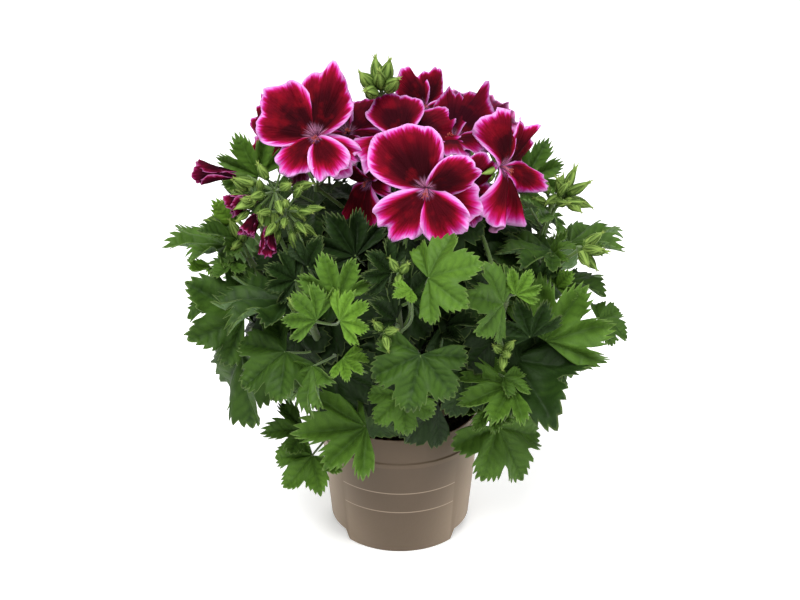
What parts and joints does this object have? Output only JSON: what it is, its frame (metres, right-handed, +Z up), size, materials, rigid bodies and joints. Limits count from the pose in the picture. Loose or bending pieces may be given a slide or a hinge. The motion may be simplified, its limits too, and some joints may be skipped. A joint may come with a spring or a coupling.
{
  "type": "potted regal pelargonium",
  "caption": "Bushy regal pelargonium in a small round plastic pot, with toothed lobed leaves, umbels of buds and ruffled two-tone blooms.",
  "frame": {"origin": "middle of the flat pad under the pot, on the surface that the pot stands on", "axes": "+Z up along the pot's axis, -Y towards the side that faces the viewer, +X to the viewer's right"},
  "size_m": [0.3164, 0.2822, 0.3532],
  "materials": {
    "pot": "smooth satin taupe plastic",
    "soil": "rough, dark, moist potting mix",
    "foliage": "soft matt green leaves, stems and buds with fine hairs",
    "petals": "velvety crimson petals with dark blotches and pale edges",
    "opening_petals": "dark crimson petals rolled together"
  },
  "bodies": {
    "root": {"pot": "pot", "soil": "soil", "stem_left": "foliage", "stem_left_front": "foliage", "stem_front": "foliage", "stem_right_front": "foliage", "stem_right": "foliage", "stem_crown": "foliage", "stem_left_far": "foliage", "stem_left_front_far": "foliage", "stem_front_far": "foliage", "stem_right_front_far": "foliage", "stem_right_far": "foliage", "stem_crown_far": "foliage", "opening_bud_left_front_1": "opening_petals", "opening_bud_left_front_2": "opening_petals", "opening_bud_left_front_3": "opening_petals", "opening_bud_left_front_4": "opening_petals", "bloom_left": "petals", "bloom_left_low": "petals", "bloom_left_rear": "petals", "bloom_middle": "petals", "bloom_middle_rear": "petals", "bloom_middle_low": "petals", "bloom_right": "petals", "bloom_right_rear": "petals", "bloom_right_low": "petals", "bloom_top": "petals", "bloom_left_far": "petals", "bloom_middle_far": "petals", "bloom_right_far": "petals", "bloom_right_rear_far": "petals"}
  },
  "joints": []
}
